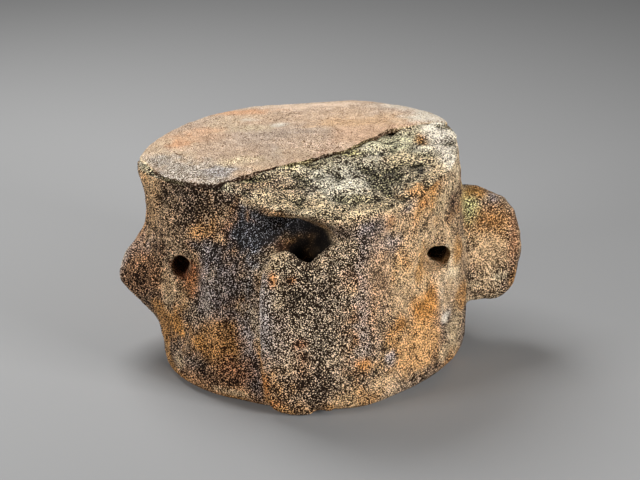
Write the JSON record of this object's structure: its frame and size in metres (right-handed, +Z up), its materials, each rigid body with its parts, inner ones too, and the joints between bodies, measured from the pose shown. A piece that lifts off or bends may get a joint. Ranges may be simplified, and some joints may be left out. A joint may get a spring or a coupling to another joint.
{
  "type": "whale tail vertebra",
  "caption": "Weathered whale tail bone: a short broad drum with a stub plate at each side, a low arch and small channels, standing on its end face.",
  "frame": {"origin": "under the middle of the bone's bounding box, on the surface that it stands on", "axes": "+Z up along the axis of the spine, -Y dorsal, towards the side with the low arch, +X towards the broader side plate"},
  "size_m": [0.307, 0.2464, 0.1619],
  "materials": {
    "weathered_bone": "rough, porous, stained grey, brown and orange"
  },
  "bodies": {
    "root": {"whale_vertebra": "weathered_bone"}
  },
  "joints": []
}
